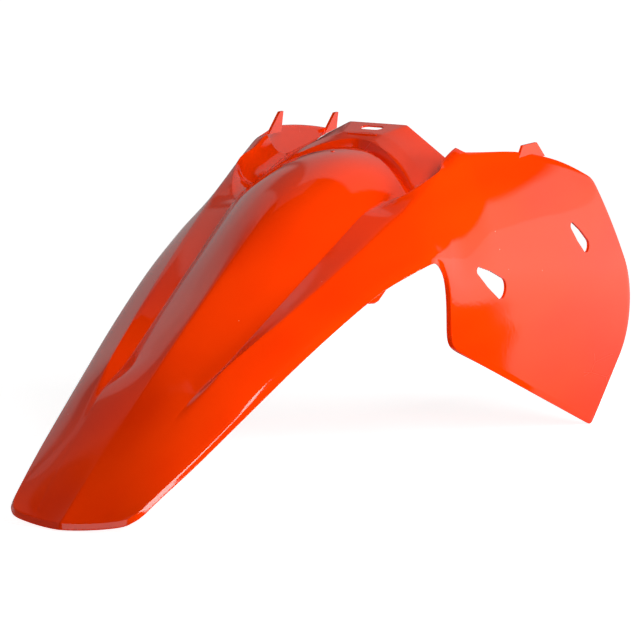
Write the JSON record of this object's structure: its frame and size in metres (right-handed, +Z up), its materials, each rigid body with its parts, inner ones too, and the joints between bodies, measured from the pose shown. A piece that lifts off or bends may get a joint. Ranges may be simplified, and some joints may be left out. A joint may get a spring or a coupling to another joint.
{
  "type": "motorcycle rear fender",
  "caption": "One-piece moulded rear fender for an off-road motorcycle, with domed seat end, slotted flange, raised shoulders and a vented right side panel.",
  "frame": {"origin": "centre of the mounting slot, on the upper face of the seat flange", "axes": "+Y to the front of the motorcycle, +X to its right, +Z up, in the attitude pictured"},
  "size_m": [0.3007, 0.9075, 0.3283],
  "materials": {
    "moulding": "gloss orange, coloured through"
  },
  "bodies": {
    "root": {"rear_fender": "moulding"}
  },
  "joints": []
}
